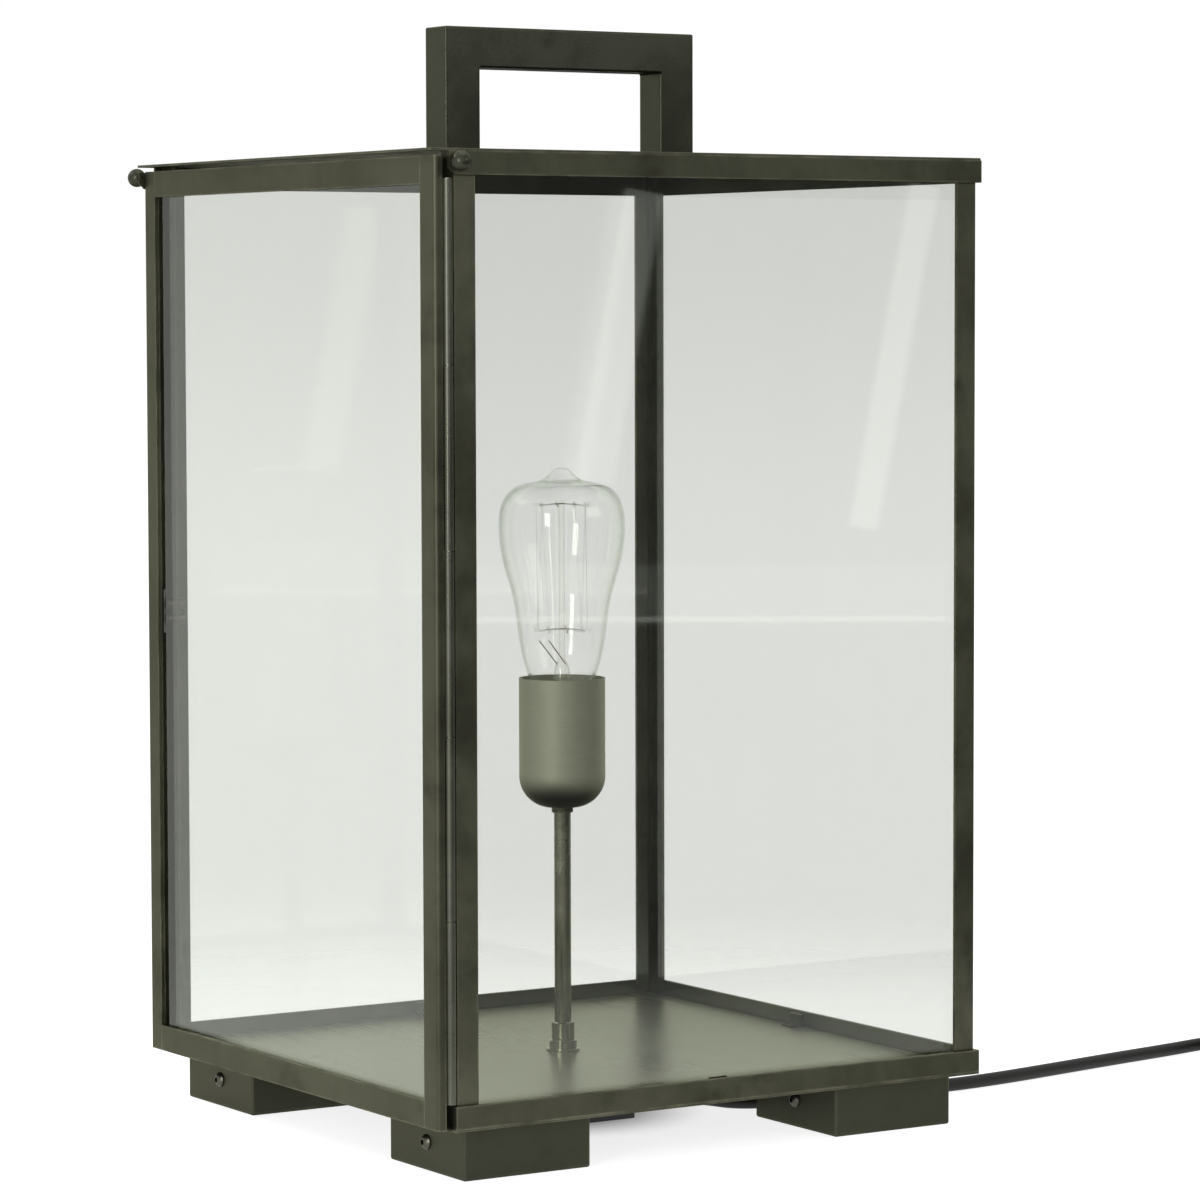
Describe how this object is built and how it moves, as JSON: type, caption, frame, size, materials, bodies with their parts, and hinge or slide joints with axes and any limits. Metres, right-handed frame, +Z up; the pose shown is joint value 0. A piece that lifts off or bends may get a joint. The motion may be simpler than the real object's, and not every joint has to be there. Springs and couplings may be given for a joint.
{
  "type": "table lantern",
  "caption": "Tall glazed table lantern in dark patinated brass with a side-hinged glass door, square carrying handle, box feet and a clear bulb in a cup on a stem.",
  "frame": {"origin": "on the table, under the middle of the lantern's box without its cable", "axes": "+Z up, -Y towards the door, +X towards the hinge side"},
  "size_m": [0.318, 0.694, 0.5473],
  "materials": {
    "patina": "dark olive patina, satin, edges worn bright",
    "brushed": "brushed along X",
    "pane_glass": "clear, polished",
    "bulb_glass": "clear, blown",
    "steel": "zinc plated",
    "dark_screw": "blackened",
    "cup": "satin, finely brushed",
    "porcelain": "glazed white",
    "contact": "bare",
    "cap": "rolled",
    "wire": "drawn wire",
    "cable_rubber": "smooth black",
    "black_plastic": "moulded",
    "tie": "woven strap",
    "pin_metal": "nickel plated"
  },
  "bodies": {
    "lantern": {"roof_plate": "patina", "roof_rail_right": "patina", "roof_rail_left": "patina", "roof_rail_back": "patina", "handle": "patina", "handle_screws": "steel", "ball_stud_right": "patina", "ball_stud_left": "patina", "post_front_right": "patina", "post_front_left": "patina", "post_rear_right": "patina", "post_rear_left": "patina", "glass_right": "pane_glass", "glass_left": "pane_glass", "glass_back": "pane_glass", "glass_clips": "dark_screw", "base_plate": "patina", "base_rail_right": "patina", "base_rail_left": "patina", "base_rail_back": "patina", "floor_plate": "brushed", "foot_front_left": "patina", "foot_front_right": "patina", "foot_rear_left": "patina", "foot_rear_right": "patina", "foot_blocks": "black_plastic", "foot_screws": "dark_screw", "base_screws": "steel", "hinge_leaf_frame": "patina", "hinge_pin": "steel", "catch_magnets": "dark_screw", "stem": "patina", "stem_collar": "patina", "stem_nut": "steel", "lamp_cup": "cup", "cup_nut": "patina", "holder_insert": "porcelain", "holder_shell": "contact", "holder_contact": "contact", "terminal_box": "black_plastic", "terminal_block": "porcelain", "lamp_wires": "black_plastic", "cable_gland": "cable_rubber", "cable": "cable_rubber", "cable_coil": "cable_rubber", "cable_tie": "tie", "plug_body": "black_plastic", "plug_pins": "pin_metal"},
    "door": {"door_stile_free": "patina", "door_stile_hinge": "patina", "door_rail_top": "patina", "door_rail_bottom": "patina", "door_glass": "pane_glass", "door_glass_tabs": "patina", "hinge_leaf_door": "patina", "keeper_plate": "steel"},
    "bulb": {"bulb_cap": "cap", "bulb_glass": "bulb_glass", "bulb_mount": "bulb_glass", "bulb_filament": "wire"}
  },
  "joints": [
    {"name": "door_hinge", "type": "hinge", "parent": "lantern", "child": "door", "pos_m": [0.146, -0.14563, 0.253], "axis": [0, 0, 1], "range_deg": [0, 70]},
    {"name": "bulb_lift", "type": "slide", "parent": "lantern", "child": "bulb", "axis": [0, 0, 1], "range_m": [0, 0.03]}
  ]
}
